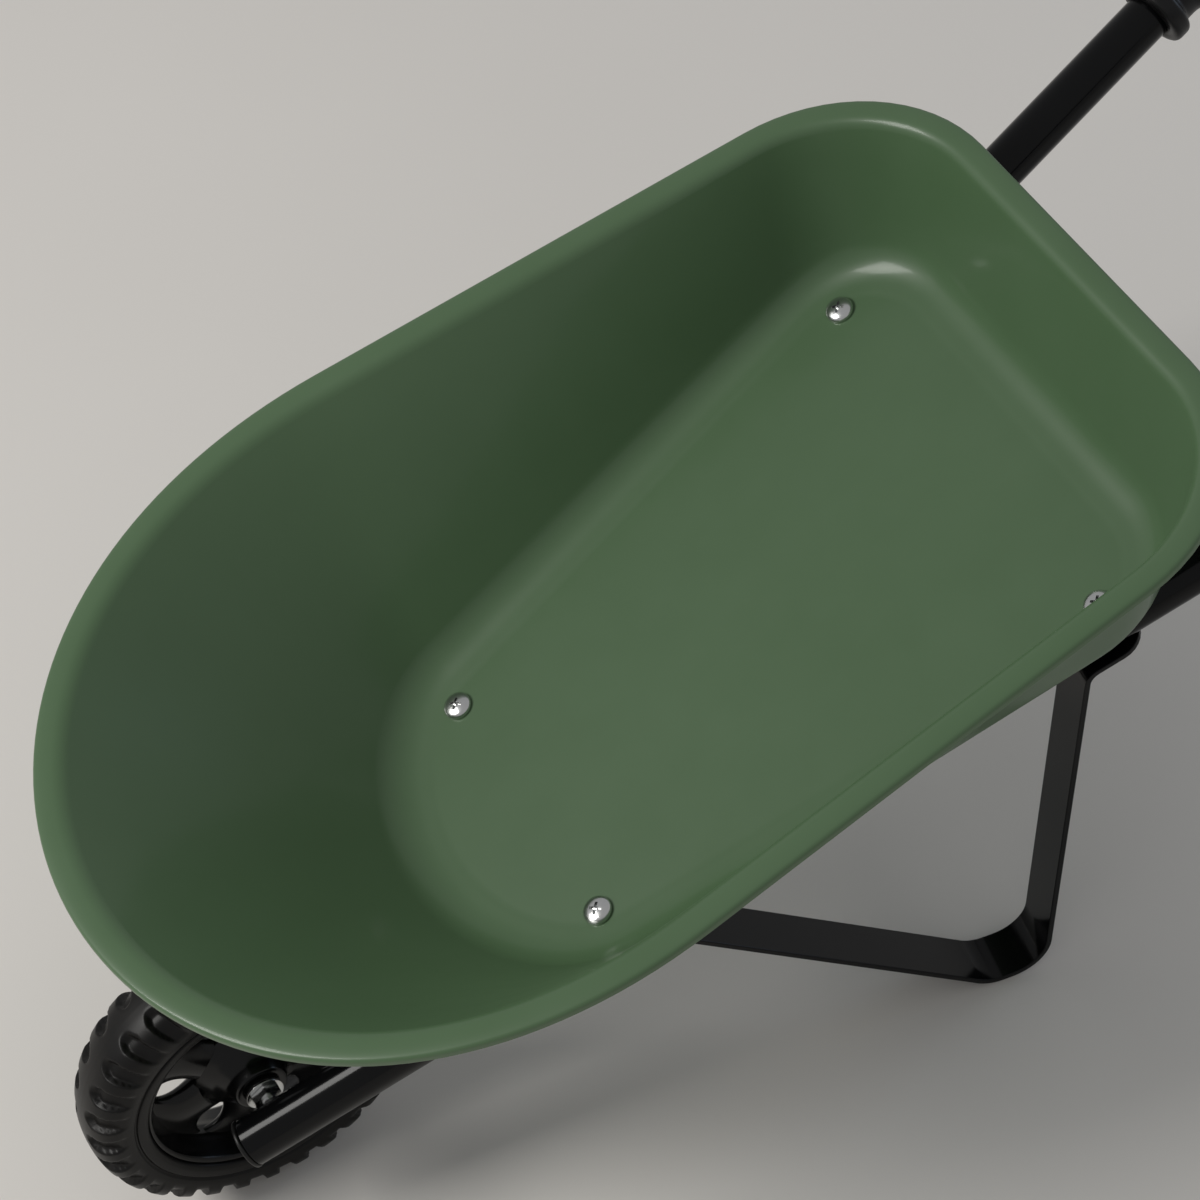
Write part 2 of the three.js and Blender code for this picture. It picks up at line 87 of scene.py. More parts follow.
HEAD_R = 6 * MM
HEAD_HIGH = 3.2 * MM
SHANK_R = 3 * MM
NUT_R = 5.8 * MM
NUT_HIGH = 5 * MM
WASHER_R = 7.5 * MM

STRIP_THICK = 2.5 * MM
STRIP_WIDE = 22 * MM
FOOT_FRONT = -293.6 * MM
FOOT_BACK = -319 * MM
LEG_TOP_FRONT = -162.3 * MM
LEG_TOP_BACK = -343.4 * MM
TAB_FRONT = -136.5 * MM
TAB_BACK = -368.5 * MM
FOOT_BEND = 17 * MM
TOP_BEND = 7 * MM

LUGS = 30
SWEEP = 1.6  # lean of the lugs, in lug pitches per tyre radius
BAND_HALF = 4 * MM  # half width of the smooth middle of the tread
SPOKES = 6
PETAL_EDGE = 1.4 * MM  # half thickness of a petal beside an opening
OPENING_TURN = math.radians(10)
BEAD_R = 47 * MM
HUB_R = 12.5 * MM
HUB_HALF = 18 * MM
BUSH_R = 6.5 * MM
AXLE_R = 4 * MM
AXLE_WASHER_R = 8 * MM
AXLE_NUT_R = 6.6 * MM

GRIP_RIDGES = 9
POCKET = 3 * MM  # depth of the tyre's pockets
SHANK_TURNS = 9
THREAD_PITCH = 1.0 * MM
WASHER_HIGH = 1 * MM

CAMERA_AT = (0.37739, 0.80685, 1.23692)
CAMERA_FORWARD = Vector((-0.21559, -0.60985, -0.76263))
CAMERA_ROLL = -11.756  # degrees
CAMERA_LENS = 105.2


# Places, worked out from the frame

def middle(node):
    """The middle of a CAD node's box."""
    low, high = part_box(node)
    return (low + high) / 2


def turned(angle, axis):
    """A turn about one axis through the origin."""
    return Matrix.Rotation(angle, 4, axis)


wheel_centre = middle("tyre")
wheel_r = (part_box("tyre")[1].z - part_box("tyre")[0].z) / 2
bolt_run = middle("washer_front_left") - middle("washer_back_left")
CHASSIS_PITCH = math.atan2(-bolt_run.z, bolt_run.x)
TUBE_TOE = math.atan2(-bolt_run.y, math.hypot(bolt_run.x, bolt_run.z))
tube_y0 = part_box("axle")[1].y - AXLE_BEYOND_TUBE

axle_frame = Matrix.Translation(wheel_centre)
chassis = axle_frame @ turned(CHASSIS_PITCH, "Y")
ALONG_X = turned(math.pi / 2, "Y")
ALONG_Y = turned(-math.pi / 2, "X")
PLAN_TOE = math.atan(math.tan(TUBE_TOE) / math.cos(CHASSIS_PITCH))
LEG_SLOPE = math.tan(CHASSIS_PITCH) * math.cos(PLAN_TOE)


def tube_frame(side):
    start = Matrix.Translation((0, side * tube_y0, 0))
    return chassis @ start @ turned(-side * TUBE_TOE, "Z")


def leg_frame(side):
    start = Matrix.Translation((0, side * tube_y0, 0))
    return axle_frame @ start @ turned(-side * PLAN_TOE, "Z")


def tube_y(s):
    """How far a tube's middle line is from the centre, at a run along the chassis."""
    return tube_y0 - s * math.tan(TUBE_TOE)


def bolt_frame(corner):
    """The chassis frame moved to a screw's own line: Z runs along the screw."""
    at = chassis.inverted() @ middle("washer_" + corner)
    return chassis @ Matrix.Translation((at.x, at.y, 0))


# Shader wiring

class Wire:
    """One output of a node tree. Arithmetic on it adds Math nodes."""

    def __init__(self, socket):
        self.socket = socket
        self.tree = socket.id_data

    def node(self, kind, settings=None, inputs=None, output=0):
        made = self.tree.nodes.new(kind)
        for name, value in (settings or {}).items():
            if name == "stops":
                self._stops(made.color_ramp, value)
            else:
                setattr(made, name, value)
        for name, value in (inputs or {}).items():
            if isinstance(value, Wire):
                self.tree.links.new(value.socket, made.inputs[name])
            else:
                made.inputs[name].default_value = value
        return Wire(made.outputs[output])

    @staticmethod
    def _stops(ramp, stops):
        while len(ramp.elements) < len(stops):
            ramp.elements.new(0.5)
        for element, (at, grey) in zip(ramp.elements, stops):
            element.position = at
            element.color = (grey, grey, grey, 1)

    def math(self, operation, first, second):
        return self.node("ShaderNodeMath", {"operation": operation}, {0: first, 1: second})

    def __add__(self, other):
        return self.math("ADD", self, other)

    def __radd__(self, other):
        return self.math("ADD", other, self)

    def __sub__(self, other):
        return self.math("SUBTRACT", self, other)

    def __rsub__(self, other):
        return self.math("SUBTRACT", other, self)

    def __mul__(self, other):
        return self.math("MULTIPLY", self, other)

    def __rmul__(self, other):
        return self.math("MULTIPLY", other, self)

    def noise(self, scale, detail=3, roughness=0.5):
        inputs = {"Vector": self, "Scale": scale, "Detail": detail, "Roughness": roughness}
        return self.node("ShaderNodeTexNoise", None, inputs)

    def stretched(self, x, y, z):
        return self.node("ShaderNodeVectorMath", {"operation": "MULTIPLY"}, {0: self, 1: (x, y, z)})

    def ramp(self, *stops):
        return self.node("ShaderNodeValToRGB", {"stops": stops}, {"Fac": self})

    def tint(self, low, high):
        """A colour between two colours, by this wire's value."""
        inputs = {0: self, 6: (*low, 1), 7: (*high, 1)}
        return self.node("ShaderNodeMix", {"data_type": "RGBA"}, inputs, output=2)

    def bump(self, height, strength):
        inputs = {"Height": self, "Distance": height, "Strength": strength}
        return self.node("ShaderNodeBump", None, inputs)


def finish(name, paint):
    """A material whose look is set by paint(place), which returns the shader's inputs."""
    material = bpy.data.materials.new(name)
    material.use_nodes = True
    tree = material.node_tree
    tree.nodes.clear()
    place = Wire(tree.nodes.new("ShaderNodeTexCoord").outputs["Object"])
    shader = place.node("ShaderNodeBsdfPrincipled", None, paint(place))
    out = tree.nodes.new("ShaderNodeOutputMaterial")
    tree.links.new(shader.socket, out.inputs["Surface"])
    return material


def enamel(name, colour, worn, roughness, peel, gloss, coat):
    """Sprayed and baked paint: slow drift in tone, orange peel, dust nibs and fine rub marks."""

    def paint(place):
        drift = place.noise(9, 4, 0.55)
        cloud = place.noise(34, 5, 0.6)
        nibs = place.noise(2600, 2).ramp((0.70, 0), (0.76, 1))
        rubs = place.stretched(260, 2100, 2100).noise(1, 3, 0.6).ramp((0.66, 0), (0.74, 1))
        skin = place.noise(620, 2, 0.45)
        tone = drift * 0.7 + cloud * 0.3
        rough = cloud * 0.10 + rubs * 0.05 + (roughness - 0.05)
        height = skin + nibs * 0.5
        return {
            "Base Color": tone.ramp((0.35, 0), (0.65, 1)).tint(colour, worn),
            "Roughness": rough,
            "Specular IOR Level": gloss,
            "Coat Weight": coat,
            "Coat Roughness": 0.12,
            "Normal": height.bump(peel, 0.35),
        }

    return finish(name, paint)


def moulding(name, colour, dusty, roughness, grain, grain_height, dust, gloss):
    """Moulded rubber, vinyl or plastic: fine grain, a dusty bloom and uneven gloss."""

    def paint(place):
        cloud = place.noise(48, 5, 0.62)
        fine = place.noise(grain, 4, 0.6)
        specks = place.noise(1500, 3, 0.7).ramp((0.60, 0), (0.72, 1))
        bloom = cloud.ramp((0.42, 0), (0.70, 1)) * dust + specks * (dust * 0.6)
        return {
            "Base Color": bloom.tint(colour, dusty),
            "Roughness": cloud * 0.16 + fine * 0.06 + (roughness - 0.1),
            "Specular IOR Level": gloss,
            "Normal": fine.bump(grain_height, 0.5),
        }

    return finish(name, paint)


def plated(name):
    """Bright zinc plate: brushed streaks, faint bluish clouds, soft pitting."""

    def paint(place):
        cloud = place.noise(160, 4, 0.6)
        streaks = place.stretched(900, 900, 5200).noise(1, 3, 0.65)
        pits = place.noise(3400, 2).ramp((0.64, 0), (0.72, 1))
        return {
            "Base Color": cloud.tint((0.72, 0.71, 0.68), (0.58, 0.60, 0.62)),
            "Metallic": 1.0,
            "Roughness": streaks * 0.10 + cloud * 0.08 + 0.10,
            "Normal": (streaks - pits * 0.6).bump(0.02 * MM, 0.35),
        }

    return finish(name, paint)


GREEN = enamel(
    "green_enamel", colour=(0.073, 0.134, 0.063), worn=(0.080, 0.143, 0.070),
    roughness=0.38, peel=0.012 * MM, gloss=0.36, coat=0.24,
)
BLACK = enamel(
    "black_enamel", colour=(0.0022, 0.0024, 0.0028), worn=(0.0034, 0.0035, 0.0038),
    roughness=0.15, peel=0.010 * MM, gloss=0.17, coat=0.03,
)
VINYL = moulding(
    "grip_vinyl", colour=(0.0035, 0.0035, 0.004), dusty=(0.010, 0.0095, 0.009),
    roughness=0.38, grain=1400, grain_height=0.05 * MM, dust=0.5, gloss=0.28,
)
RUBBER = moulding(
    "tyre_rubber", colour=(0.0048, 0.0046, 0.0045), dusty=(0.0135, 0.0118, 0.0100),
    roughness=0.36, grain=1700, grain_height=0.04 * MM, dust=0.34, gloss=0.2,
)
RIM_PLASTIC = moulding(
    "rim_plastic", colour=(0.0018, 0.0018, 0.002), dusty=(0.0055, 0.0052, 0.005),
    roughness=0.2, grain=1100, grain_height=0.01 * MM, dust=0.4, gloss=0.3,
)
NYLON = moulding(
    "nylon", colour=(0.005, 0.005, 0.005), dusty=(0.014, 0.0135, 0.013),
    roughness=0.36, grain=1300, grain_height=0.03 * MM, dust=0.5, gloss=0.3,
)
ZINC = plated("zinc")


# Shape helpers

def softened(points, radius, steps=4):
    """A line with each inner corner rounded by at most radius."""
    out = [points[0]]
    for before, at, after in zip(points, points[1:], points[2:]):
        back = Vector(before) - Vector(at)
        on = Vector(after) - Vector(at)
        reach = min(radius, 0.45 * back.length, 0.45 * on.length)
        a = Vector(at) + back.normalized() * reach
        b = Vector(at) + on.normalized() * reach
        for i in range(steps + 1):
            t = i / steps
            out.append(tuple((1 - t) ** 2 * a + 2 * t * (1 - t) * Vector(at) + t * t * b))
    out.append(points[-1])
    return out


def piece(name, bm, material, slot, body, *stands_for):
    """Turns a finished bmesh into a piece that rides on a body and stands for CAD nodes."""
    for face in bm.faces:
        face.smooth = True
        face.material_index = 0
    mesh = bpy.data.meshes.new(name)
    bm.to_mesh(mesh)
    bm.free()
    made = bpy.data.objects.new(name, mesh)
    bpy.context.scene.collection.objects.link(made)
    mesh.materials.append(material)
    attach(made, body)
    if stands_for:
        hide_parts(*stands_for)
    return made


def closed(bm):
    bmesh.ops.remove_doubles(bm, verts=bm.verts[:], dist=0.001 * MM)
    bmesh.ops.recalc_face_normals(bm, faces=bm.faces[:])
    return bm


def spun(profile, steps, place):
    """A turned solid from a profile of (radius, along), turned about Z and then put in place."""
    bm = bmesh.new()
    verts = [bm.verts.new((r, 0, z)) for r, z in profile]
    edges = [bm.edges.new(pair) for pair in zip(verts, verts[1:])]
    bmesh.ops.spin(
        bm, geom=verts + edges, cent=(0, 0, 0), axis=(0, 0, 1),
        angle=2 * math.pi, steps=steps, use_merge=True,
    )
    closed(bm)
    bmesh.ops.transform(bm, matrix=place, verts=bm.verts[:])
    return bm


def spun_ring(profile, steps, place, radius):
    """A turned ring: the profile closes on itself, with its corners rounded."""
    line = softened([*profile, profile[0], profile[1]], radius)
    line = line[1:-1]
    return spun([*line, line[0]], steps, place)


def joined(target, *others):
    """Adds the faces of other bmeshes to the first one."""
    for other in others:
        mesh = bpy.data.meshes.new("part")
        other.to_mesh(mesh)
        other.free()
        target.from_mesh(mesh)
        bpy.data.meshes.remove(mesh)
    return target


def loop_on(bm, points):
    """A closed loop of edges through the points."""
    verts = [bm.verts.new(p) for p in points]
    return verts, [bm.edges.new((a, b)) for a, b in zip(verts, verts[1:] + verts[:1])]


def drawn_to(bm, verts, edges, points):
    """Extrudes a loop of edges and puts the new loop on the given points."""
    made = bmesh.ops.extrude_edge_only(bm, edges=edges)["geom"]
    fresh = {g for g in made if isinstance(g, bmesh.types.BMVert)}
    line = [
        next(e.other_vert(v) for e in v.link_edges if e.other_vert(v) in fresh)
        for v in verts
    ]
    for vert, point in zip(line, points):
        vert.co = point
    edges = [e for e in made if isinstance(e, bmesh.types.BMEdge)]
    return line, [e for e in edges if e.verts[0] in fresh and e.verts[1] in fresh]


def lofted(rings, caps=True):
    """A skin through closed rings of points that have the same count."""
    bm = bmesh.new()
    verts, edges = loop_on(bm, rings[0])
    first = verts
    for ring in rings[1:]:
        verts, edges = drawn_to(bm, verts, edges, ring)
    if caps:
        bm.faces.new(first)
        bm.faces.new(verts)
    return bm


def modified(made, kind, **settings):
    """Gives a piece a modifier with the settings."""
    modifier = made.modifiers.new(kind.lower(), kind)
    for name, value in settings.items():
        setattr(modifier, name, value)
    return modifier


def edges_softened(made, width, segments=2, angle=35):
    modified(
        made, "BEVEL", width=width, segments=segments, limit_method="ANGLE",
        angle_limit=math.radians(angle), harden_normals=True,
    )


def cut_by(bm, cutter):
    """Takes one closed bmesh out of another."""
    meshes = [bpy.data.meshes.new("part") for _ in range(2)]
    objects = [bpy.data.objects.new("part", mesh) for mesh in meshes]
    for source, mesh, made in zip((bm, cutter), meshes, objects):
        source.to_mesh(mesh)
        source.free()
        bpy.context.scene.collection.objects.link(made)
    modified(objects[0], "BOOLEAN", operation="DIFFERENCE", object=objects[1], solver="EXACT")
    bpy.context.view_layer.update()
    done = objects[0].evaluated_get(bpy.context.evaluated_depsgraph_get())
    out = bmesh.new()
    out.from_mesh(done.data)
    for made in objects:
        bpy.data.objects.remove(made)
    for mesh in meshes:
        bpy.data.meshes.remove(mesh)
    return out


# Tray

BACK_STEPS = 6
CORNER_STEPS = 16
SIDE_STEPS = 14
NOSE_STEPS = 40


def half_outline(back, back_half, wide, wide_half, nose, corner):
    """Half an outline from the middle of the back edge to the nose, as (along, across)."""
    side = Vector((wide - back, wide_half - back_half)).normalized()
    reach = corner / math.tan(math.acos(-side.y) / 2)
    start = Vector((back, back_half - reach))
    end = Vector((back, back_half)) + side * reach
    centre = Vector((back + corner, start.y))
    sweep = math.atan2(end.y - centre.y, end.x - centre.x) - math.pi
    points = [(back, start.y * i / BACK_STEPS) for i in range(BACK_STEPS)]
    for i in range(CORNER_STEPS):
        a = math.pi + sweep * i / CORNER_STEPS
        points.append((centre.x + corner * math.cos(a), centre.y + corner * math.sin(a)))
    for i in range(SIDE_STEPS):
        t = i / SIDE_STEPS
        points.append((end.x + (wide - end.x) * t, end.y + (wide_half - end.y) * t))
    slope = side.y / side.x
    for i in range(NOSE_STEPS + 1):
        a = math.pi / 2 * i / NOSE_STEPS
        x = nose * math.sin(a)
        points.append((wide + x, wide_half * math.cos(a) + slope * x * math.cos(a)))
    return points


def whole_outline(half, place):
    """The closed outline in space, anticlockwise from above, from its half."""
    right = [place @ Vector((x, -y, 0)) for x, y in half]
    left = [place @ Vector((x, y, 0)) for x, y in half]
    return right + left[-2:0:-1]


def outward(points, normal):
    """The direction out of a closed line at each of its points."""
    ahead = points[1:] + points[:1]
    behind = points[-1:] + points[:-1]
    return [(a - b).cross(normal).normalized() for a, b in zip(ahead, behind)]


def rounded(corner, towards_a, towards_b, length, steps):
    """A soft bend at a corner, from one direction to the other."""
    a = corner + towards_a * length
    b = corner + towards_b * length
    out = []
    for i in range(steps + 1):
        t = i / steps
        out.append((1 - t) ** 2 * a + 2 * t * (1 - t) * corner + t * t * b)
    return out


def tray_section(edge, fold, rim_out, floor_out, rim_up, floor_up):
    """One cross-section of the sheet, from the floor out to the end of its turned-down lip."""
    shoulder = edge - rim_out * FLANGE
    inner = fold - floor_out * (FLOOR_FOLD + 3.5 * MM)
    ledge = fold + floor_up * FLOOR_STEP
    wall = (shoulder - ledge).normalized()
    step = [inner - floor_out * 1.5 * MM]
    step += [inner.lerp(ledge - floor_out * FLOOR_FOLD, t) for t in (0.0, 0.45)]
    bend = rounded(ledge, -floor_out, wall, FLOOR_FOLD, 9)
    turn = rounded(shoulder, -wall, rim_out, 4.5 * MM, 6)
    panel = [bend[-1].lerp(turn[0], t) for t in (0.2, 0.4, 0.6, 0.8)]
    crown = [turn[-1].lerp(edge, 0.45) + rim_up * 0.25 * MM]
    brim = rounded(edge, -rim_out, -rim_up, 2.2 * MM, 5)
    return step + bend + panel + turn + crown + brim + [edge - rim_up * LIP]


def tray():
    rim_place = Matrix.Translation(wheel_centre + RIM_BACK) @ turned(RIM_PITCH, "Y")
    floor_place = chassis @ Matrix.Translation((0, 0, FLOOR_N))
    rim_up = rim_place.to_3x3() @ Vector((0, 0, 1))
    floor_up = chassis.to_3x3() @ Vector((0, 0, 1))
    wide = FLOOR_FRONT - FLOOR_NOSE
    floor_half = half_outline(
        FLOOR_BACK, tube_y(FLOOR_BACK) + FLOOR_MARGIN,
        wide, tube_y(wide) + FLOOR_MARGIN, FLOOR_NOSE, FLOOR_CORNER,
    )
    rim_half = half_outline(
        0, RIM_BACK_HALF, RIM_LONG - RIM_NOSE, RIM_WIDE_HALF, RIM_NOSE, RIM_CORNER,
    )
    folds = whole_outline(floor_half, floor_place)
    edges = whole_outline(rim_half, rim_place)
    outs = zip(outward(edges, rim_up), outward(folds, floor_up))
    sections = [
        tray_section(edge, fold, rim_out, floor_out, rim_up, floor_up)
        for edge, fold, (rim_out, floor_out) in zip(edges, folds, outs)
    ]
    bm = lofted([list(ring) for ring in zip(*sections)], caps=False)
    floor_loop = [v for v in bm.verts if v.is_boundary][:len(sections)]
    bm.faces.new(floor_loop)
    bmesh.ops.recalc_face_normals(bm, faces=bm.faces[:])
    floor_face = max(bm.faces, key=lambda f: len(f.verts))
    if floor_face.normal.dot(floor_up) < 0:
        bmesh.ops.reverse_faces(bm, faces=bm.faces[:])
    made = piece("tray", bm, GREEN, "green_enamel", "barrow", "tray")
    modified(made, "SOLIDIFY", thickness=SHEET, offset=-1, use_even_offset=True)
    edges_softened(made, 0.45 * MM, 3, 50)


# Tubes, plugs and grips

def tubes():
    for word, side in SIDES:
        place = tube_frame(side) @ ALONG_X
        ring = [
            (TUBE_BORE, TUBE_BACK), (TUBE_R, TUBE_BACK),
            (TUBE_R, TUBE_FRONT), (TUBE_BORE, TUBE_FRONT),
        ]
        piece(
            "frame_tube_" + word, spun_ring(ring, 72, place, 0.5 * MM),
            BLACK, "black_enamel", "barrow", "frame_tube_" + word,
        )
        face = TUBE_FRONT + GAP
        bore = TUBE_BORE - GAP
        plug = softened(
            [
                (0, face - 7 * MM), (bore, face - 7 * MM), (bore, face),
                (TUBE_R + 0.4 * MM, face),
                (TUBE_R + 0.4 * MM, face + PLUG_FLANGE), (TUBE_R - 2.6 * MM, face + PLUG_FLANGE),
                (TUBE_R - 3.4 * MM, face + 0.8 * PLUG_FLANGE), (0, face + 0.8 * PLUG_FLANGE),
            ],
            0.9 * MM,
        )
        piece(
            "tube_plug_" + word, spun(plug, 72, place),
            NYLON, "nylon", "barrow", "tube_plug_" + word,
        )
        piece("grip_" + word, grip(place), VINYL, "grip_vinyl", "barrow", "grip_" + word)


def grip(place):
    """A vinyl grip: thick round collar, a waist with finger ridges and a domed end."""
    bore = TUBE_R + GAP
    root = COLLAR_AT - COLLAR_LONG
    line = [(bore, COLLAR_AT), (COLLAR_R, COLLAR_AT), (COLLAR_R, root)]
    line += [(GRIP_R - 0.5 * MM, root - 1.5 * MM)]
    start = root - 8 * MM
    run = (GRIP_END + 16 * MM - start) / GRIP_RIDGES
    for i in range(GRIP_RIDGES):
        s = start + run * i
        line += [(GRIP_R - 0.4 * MM, s), (GRIP_R + 0.4 * MM, s + 0.25 * run)]
        line += [(GRIP_R + 0.4 * MM, s + 0.7 * run), (GRIP_R - 0.4 * MM, s + 0.95 * run)]
    line += [(GRIP_R + 0.5 * MM, GRIP_END + 12 * MM), (GRIP_R + 0.5 * MM, GRIP_END + 2 * MM)]
    line += [(GRIP_R - 5 * MM, GRIP_END + 0.2 * MM), (0, GRIP_END)]
    inside = [(0, TUBE_BACK - GAP), (bore, TUBE_BACK - GAP)]
    return spun([*inside, *softened(line, 3.2 * MM)], 72, place)


# Legs

def bent_line(corners, radii):
    """A line through corners with round bends, as points with their run from the start."""
    line = [Vector(corners[0])]
    for i, radius in enumerate(radii):
        before, at, after = (Vector(p) for p in corners[i:i + 3])
        a = (before - at).normalized()
        b = (after - at).normalized()
        half = math.acos(a.dot(b)) / 2
        centre = at + (a + b).normalized() * (radius / math.sin(half))
        first = at + a * (radius / math.tan(half)) - centre
        last = at + b * (radius / math.tan(half)) - centre
        start = math.atan2(first.y, first.x)
        sweep = (math.atan2(last.y, last.x) - start + math.pi) % (2 * math.pi) - math.pi
        for k in range(11):
            t = start + sweep * k / 10
            line.append(centre + Vector((radius * math.cos(t), radius * math.sin(t))))
    line.append(Vector(corners[-1]))
    return line


def round_end(end, towards):
    """Stations on a rounded strip end, from its tip inwards: (point, half width)."""
    r = STRIP_WIDE / 2
    out = []
    for k in range(1, 8):
        a = math.pi / 2 * k / 7
        out.append((end + towards * r * (1 - math.cos(a)), r * math.sin(a)))
    return out


def leg(word, side):
    drop = (TUBE_R + GAP + STRIP_THICK / 2) / math.cos(math.atan(LEG_SLOPE))
    sole = STRIP_THICK / 2 - wheel_r

    def tab(x):
        return (x, -x * LEG_SLOPE - drop)

    corners = [
        tab(TAB_FRONT), tab(LEG_TOP_FRONT), (FOOT_FRONT, sole),
        (FOOT_BACK, sole), tab(LEG_TOP_BACK), tab(TAB_BACK),
    ]
    line = bent_line(corners, (TOP_BEND, FOOT_BEND, FOOT_BEND, TOP_BEND))
    along = (line[1] - line[0]).normalized()
    back = (line[-2] - line[-1]).normalized()
    stations = round_end(line[0], along)
    stations += [(p, STRIP_WIDE / 2) for p in line[1:-1]]
    stations += reversed(round_end(line[-1], back))
    bm = bmesh.new()
    point, half = stations[0]
    verts = [bm.verts.new((point.x, y * half, point.y)) for y in (-1, 0, 1)]
    edges = [bm.edges.new(pair) for pair in zip(verts, verts[1:])]
    for point, half in stations[1:]:
        spots = [(point.x, y * half, point.y) for y in (-1, 0, 1)]
        verts, edges = drawn_to(bm, verts, edges, spots)
    bmesh.ops.recalc_face_normals(bm, faces=bm.faces[:])
    bmesh.ops.transform(bm, matrix=leg_frame(side), verts=bm.verts[:])
    made = piece("leg_" + word, bm, BLACK, "black_enamel", "barrow", "leg_" + word)
    modified(made, "SOLIDIFY", thickness=STRIP_THICK, offset=0, use_even_offset=True)
    edges_softened(made, 0.55 * MM, 3, 40)


# Screws, washers and nuts

def cross_recess(place, length, width, depth):
    """The two tapered arms that are cut out of a head for its cross recess."""
    arms = []
    for angle in (math.pi / 4, -math.pi / 4):
        turn = place @ turned(angle, "Z")
        arm = bmesh.new()
        bmesh.ops.create_cone(
            arm, cap_ends=True, segments=4, radius1=0.45 * length, radius2=0.71 * length, depth=depth,
        )
        bmesh.ops.rotate(arm, matrix=turned(math.pi / 4, "Z").to_3x3(), verts=arm.verts[:])
        bmesh.ops.scale(arm, vec=(1, width / length, 1), verts=arm.verts[:])
        bmesh.ops.transform(arm, matrix=turn, verts=arm.verts[:])
        arms.append(arm)
    return arms


def screw(corner):
    place = bolt_frame(corner)
    seat = FLOOR_N + GAP
    low = -(TUBE_R + GAP + STRIP_THICK + 1.2 * MM + NUT_HIGH + 3 * MM)
    side = 0.9 * MM
    dome = []
    for k in range(13):
        a = math.pi / 2 * k / 12
        dome.append((HEAD_R * math.cos(a), seat + side + (HEAD_HIGH - side) * math.sin(a)))
    line = [(0, low), (SHANK_R - 0.5 * MM, low), (SHANK_R, low + 0.5 * MM)]
    for i in range(SHANK_TURNS):
        z = low + 1 * MM + THREAD_PITCH * i
        line += [(SHANK_R, z), (SHANK_R - 0.45 * MM, z + 0.5 * THREAD_PITCH)]
    line += [(SHANK_R, low + 10.5 * MM), (SHANK_R, seat)]
    line += [(HEAD_R - 0.2 * MM, seat), (HEAD_R, seat + 0.25 * MM)]
    line += dome[:-1] + [(0, dome[-1][1])]
    head = spun(line, 48, place)
    top = place @ Matrix.Translation((0, 0, seat + HEAD_HIGH - 0.6 * MM))
    for cutter in cross_recess(top, 6.0 * MM, 1.25 * MM, 2.4 * MM):
        head = cut_by(head, cutter)
    bmesh.ops.remove_doubles(head, verts=head.verts[:], dist=0.002 * MM)
    made = piece("tray_screw_" + corner, head, ZINC, "zinc", "barrow", "tray_screw_" + corner)
    sharp_over(made, 38)


def sharp_over(made, angle):
    """Smooth shading that stops at edges sharper than the angle."""
    for edge, sharp in zip(made.data.edges, sharp_edges(made.data, math.radians(angle))):
        edge.use_edge_sharp = sharp


def sharp_edges(mesh, angle):
    bm = bmesh.new()
    bm.from_mesh(mesh)
    out = [len(e.link_faces) != 2 or e.calc_face_angle(0) > angle for e in bm.edges]
    bm.free()
    return out


def hexagon_nut(radius, bore, low, high, place, chamfer):
    """A chamfered hexagon nut: a hexagon prism met by a cone at each end."""
    prism = bmesh.new()
    bmesh.ops.create_cone(
        prism, cap_ends=True, segments=6, radius1=radius, radius2=radius, depth=high - low,
        matrix=Matrix.Translation((0, 0, (low + high) / 2)),
    )
    for end, way in ((low, -1), (high, 1)):
        for k in range(6):
            a = math.pi / 3 * k
            spot = Vector((radius * math.cos(a), radius * math.sin(a), end))
            edge = Vector((math.cos(a), math.sin(a), 1.1 * way)).normalized()
            cut_at = spot - edge * chamfer
            bmesh.ops.bisect_plane(
                prism, geom=prism.verts[:] + prism.edges[:] + prism.faces[:],
                plane_co=cut_at, plane_no=edge, clear_outer=True,
            )
            rim = [e for e in prism.edges if e.is_boundary]
            if rim:
                bmesh.ops.holes_fill(prism, edges=rim)
    bmesh.ops.recalc_face_normals(prism, faces=prism.faces[:])
    hole = bmesh.new()
    bmesh.ops.create_cone(
        hole, cap_ends=True, segments=32, radius1=bore, radius2=bore, depth=3 * (high - low),
        matrix=Matrix.Translation((0, 0, (low + high) / 2)),
    )
    nut = cut_by(prism, hole)
    bmesh.ops.transform(nut, matrix=place, verts=nut.verts[:])
    return nut


def nuts_and_washers(corner):
    place = bolt_frame(corner)
    top = -(TUBE_R + GAP + STRIP_THICK + 1.4 * MM)
    bore = SHANK_R + 0.4 * MM
    foot = top - WASHER_HIGH
    ring = [(bore, foot), (WASHER_R, foot), (WASHER_R, top), (bore, top)]
    piece(
        "washer_" + corner, spun_ring(ring, 48, place, 0.3 * MM),
        ZINC, "zinc", "barrow", "washer_" + corner,
    )
    high = foot - GAP
    low = high - NUT_HIGH
    nut = hexagon_nut(NUT_R, SHANK_R + GAP, low + 1.1 * MM, high, place, 0.55 * MM)
    collar = [(SHANK_R + GAP, low), (NUT_R - 1.5 * MM, low), (NUT_R - 1.0 * MM, low + 1.3 * MM),
              (SHANK_R + GAP, low + 1.3 * MM)]
    joined(nut, spun_ring(collar, 32, place, 0.35 * MM))
    made = piece("lock_nut_" + corner, nut, ZINC, "zinc", "barrow", "lock_nut_" + corner)
    sharp_over(made, 30)


# Tyre

